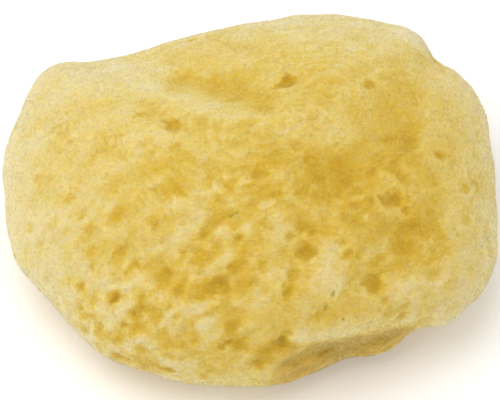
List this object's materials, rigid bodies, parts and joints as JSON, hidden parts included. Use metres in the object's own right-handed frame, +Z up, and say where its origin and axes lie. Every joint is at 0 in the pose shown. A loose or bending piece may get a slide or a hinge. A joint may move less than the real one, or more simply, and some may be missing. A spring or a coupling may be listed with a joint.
{
  "type": "sea sponge",
  "caption": "Natural sea sponge: a soft pale yellow bun with open pores and a flat cut base, used dry or wet for washing and dabbing.",
  "frame": {"origin": "middle of the flat cut base, below the centre of the sponge's box", "axes": "+Z up from the cut base, +X along the longest side, -Y to the front"},
  "size_m": [0.1194, 0.103, 0.0498],
  "materials": {
    "sponge": "matte fibrous, velvety"
  },
  "bodies": {
    "root": {"sponge": "sponge"}
  },
  "joints": []
}
